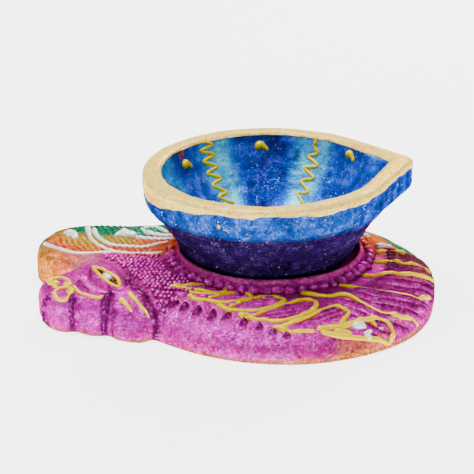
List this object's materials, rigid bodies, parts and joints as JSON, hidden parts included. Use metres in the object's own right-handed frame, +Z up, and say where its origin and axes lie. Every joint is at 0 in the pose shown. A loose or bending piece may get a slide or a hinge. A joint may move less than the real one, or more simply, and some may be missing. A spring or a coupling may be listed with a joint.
{
  "type": "diya oil lamp",
  "caption": "Painted terracotta oil lamp: a spouted clay cup that lifts out of a ringed seat on a peacock-shaped plaque with raised paint lines.",
  "frame": {"origin": "on the flat underside, below the middle of the plaque's flat top, 1.5 mm from the seat's axis", "axes": "+Z up, +X from the peacock's head towards its tail and the cup's spout, +Y towards the back of the train"},
  "size_m": [0.1287, 0.1024, 0.0407],
  "materials": {
    "painted_clay_plaque": "pearl paint, magenta with an orange and teal train",
    "painted_clay_cup": "pearl paint, blue above and purple below",
    "gold_paint": "brushed metallic gold acrylic paint",
    "yellow_relief_paint": "raised relief paint, satin",
    "white_relief_paint": "raised relief paint, satin"
  },
  "bodies": {
    "base": {"peacock_plaque": "painted_clay_plaque", "seat_pellets": "painted_clay_plaque", "eye_outline": "yellow_relief_paint", "eye_pupil": "white_relief_paint", "upper_crest_curl": "yellow_relief_paint", "lower_crest_curl": "yellow_relief_paint", "beak_strokes": "yellow_relief_paint", "feather_loops": "yellow_relief_paint", "wing_paisley": "yellow_relief_paint", "paisley_filling": "white_relief_paint", "tail_lines": "yellow_relief_paint", "neck_line": "white_relief_paint", "train_leaf_lines": "white_relief_paint", "train_drops": "white_relief_paint"},
    "cup_body": {"cup": "painted_clay_cup", "rim_gilding": "gold_paint", "zigzag_lines": "yellow_relief_paint", "comma_dabs": "yellow_relief_paint", "rim_drips": "yellow_relief_paint"}
  },
  "joints": [
    {"name": "cup_lift", "type": "slide", "parent": "base", "child": "cup_body", "axis": [0, 0, 1], "range_m": [0, 0.06]}
  ]
}
